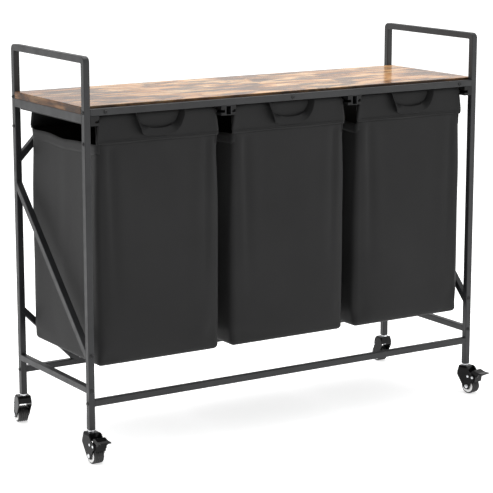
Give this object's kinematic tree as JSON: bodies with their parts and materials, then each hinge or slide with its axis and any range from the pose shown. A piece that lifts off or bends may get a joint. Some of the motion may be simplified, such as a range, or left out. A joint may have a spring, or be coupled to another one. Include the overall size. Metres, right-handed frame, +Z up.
{
  "type": "laundry cart",
  "caption": "Rolling laundry sorter cart: bent-tube steel frame with push handles, wood shelf top, pull-out fabric bags on slide frames and braked swivel casters.",
  "frame": {"origin": "on the floor, under the middle of the cart's outline", "axes": "+X along the cart to its right, +Y to the back, +Z up; the bags pull out along -Y"},
  "size_m": [1.1164, 0.4527, 0.909],
  "materials": {
    "frame_steel": "satin charcoal powder coat",
    "shelf_wood": "rustic brown laminate, satin",
    "bag_fabric": "black coated woven polyester",
    "strap_webbing": "black woven webbing",
    "wire_steel": "black coated wire",
    "base_plastic": "black stiff sheet",
    "slide_plastic": "moulded black nylon",
    "bolt_steel": "black bolt heads",
    "bright_steel": "zinc-plated steel",
    "caster_black": "black enamelled steel",
    "tyre_rubber": "ribbed black tread",
    "hub_plastic": "white moulded nylon"
  },
  "bodies": {
    "frame": {"left_side_frame": "frame_steel", "right_side_frame": "frame_steel", "front_top_rail": "frame_steel", "rear_top_rail": "frame_steel", "front_lower_rail": "frame_steel", "rear_lower_rail": "frame_steel", "left_lower_side_rail": "frame_steel", "right_lower_side_rail": "frame_steel", "left_top_crossbar": "frame_steel", "right_top_crossbar": "frame_steel", "left_side_brace": "frame_steel", "right_side_brace": "frame_steel", "rear_upper_brace_left": "frame_steel", "rear_upper_brace_right": "frame_steel", "rear_lower_brace_left": "frame_steel", "rear_lower_brace_right": "frame_steel", "slide_bar_left": "frame_steel", "slide_bar_right": "frame_steel", "shelf_board": "shelf_wood", "shelf_screws": "bolt_steel", "frame_bolts": "bolt_steel", "caster_stems": "bright_steel", "leg_sockets": "slide_plastic", "slide_channel_a": "slide_plastic", "slide_channel_b": "slide_plastic", "slide_channel_c": "slide_plastic", "slide_channel_d": "slide_plastic", "slide_channel_e": "slide_plastic", "slide_channel_f": "slide_plastic"},
    "bag_set_1": {"bag_1": "bag_fabric", "slide_frame_1": "wire_steel", "bag_base_1": "base_plastic", "pull_strap_1": "strap_webbing"},
    "bag_set_2": {"bag_2": "bag_fabric", "slide_frame_2": "wire_steel", "bag_base_2": "base_plastic", "pull_strap_2": "strap_webbing"},
    "bag_set_3": {"bag_3": "bag_fabric", "slide_frame_3": "wire_steel", "bag_base_3": "base_plastic", "pull_strap_3": "strap_webbing"},
    "front_left_caster": {"front_left_fork": "caster_black", "front_left_pins": "bright_steel"},
    "front_left_wheel": {"front_left_tyre": "tyre_rubber", "front_left_hub": "hub_plastic"},
    "front_left_brake": {"front_left_pedal": "caster_black"},
    "front_right_caster": {"front_right_fork": "caster_black", "front_right_pins": "bright_steel"},
    "front_right_wheel": {"front_right_tyre": "tyre_rubber", "front_right_hub": "hub_plastic"},
    "front_right_brake": {"front_right_pedal": "caster_black"},
    "rear_left_caster": {"rear_left_fork": "caster_black", "rear_left_pins": "bright_steel"},
    "rear_left_wheel": {"rear_left_tyre": "tyre_rubber", "rear_left_hub": "hub_plastic"},
    "rear_right_caster": {"rear_right_fork": "caster_black", "rear_right_pins": "bright_steel"},
    "rear_right_wheel": {"rear_right_tyre": "tyre_rubber", "rear_right_hub": "hub_plastic"}
  },
  "joints": [
    {"name": "bag_1_slide", "type": "slide", "parent": "frame", "child": "bag_set_1", "axis": [0, -1, 0], "range_m": [0, 0.27]},
    {"name": "bag_2_slide", "type": "slide", "parent": "frame", "child": "bag_set_2", "axis": [0, -1, 0], "range_m": [0, 0.27]},
    {"name": "bag_3_slide", "type": "slide", "parent": "frame", "child": "bag_set_3", "axis": [0, -1, 0], "range_m": [0, 0.27]},
    {"name": "front_left_swivel", "type": "hinge", "parent": "frame", "child": "front_left_caster", "pos_m": [-0.5345, -0.1595, 0.07], "axis": [0, 0, 1], "continuous": true},
    {"name": "front_left_spin", "type": "hinge", "parent": "front_left_caster", "child": "front_left_wheel", "pos_m": [-0.53387, -0.17749, 0.0195], "axis": [0.9994, 0.0349, 0], "continuous": true},
    {"name": "front_left_brake_press", "type": "hinge", "parent": "front_left_caster", "child": "front_left_brake", "pos_m": [-0.53328, -0.19448, 0.045], "axis": [0.9994, 0.0349, 0], "range_deg": [0, 12]},
    {"name": "front_right_swivel", "type": "hinge", "parent": "frame", "child": "front_right_caster", "pos_m": [0.5345, -0.1595, 0.07], "axis": [0, 0, 1], "continuous": true},
    {"name": "front_right_spin", "type": "hinge", "parent": "front_right_caster", "child": "front_right_wheel", "pos_m": [0.53855, -0.17704, 0.0195], "axis": [0.9744, 0.225, 0], "continuous": true},
    {"name": "front_right_brake_press", "type": "hinge", "parent": "front_right_caster", "child": "front_right_brake", "pos_m": [0.54237, -0.1936, 0.045], "axis": [0.9744, 0.225, 0], "range_deg": [0, 12]},
    {"name": "rear_left_swivel", "type": "hinge", "parent": "frame", "child": "rear_left_caster", "pos_m": [-0.5345, 0.1875, 0.07], "axis": [0, 0, 1], "continuous": true},
    {"name": "rear_left_spin", "type": "hinge", "parent": "rear_left_caster", "child": "rear_left_wheel", "pos_m": [-0.53262, 0.2054, 0.0195], "axis": [-0.9945, 0.1045, 0], "continuous": true},
    {"name": "rear_right_swivel", "type": "hinge", "parent": "frame", "child": "rear_right_caster", "pos_m": [0.5345, 0.1875, 0.07], "axis": [0, 0, 1], "continuous": true},
    {"name": "rear_right_spin", "type": "hinge", "parent": "rear_right_caster", "child": "rear_right_wheel", "pos_m": [0.5345, 0.2055, 0.0195], "axis": [-1, 0, 0], "continuous": true}
  ]
}
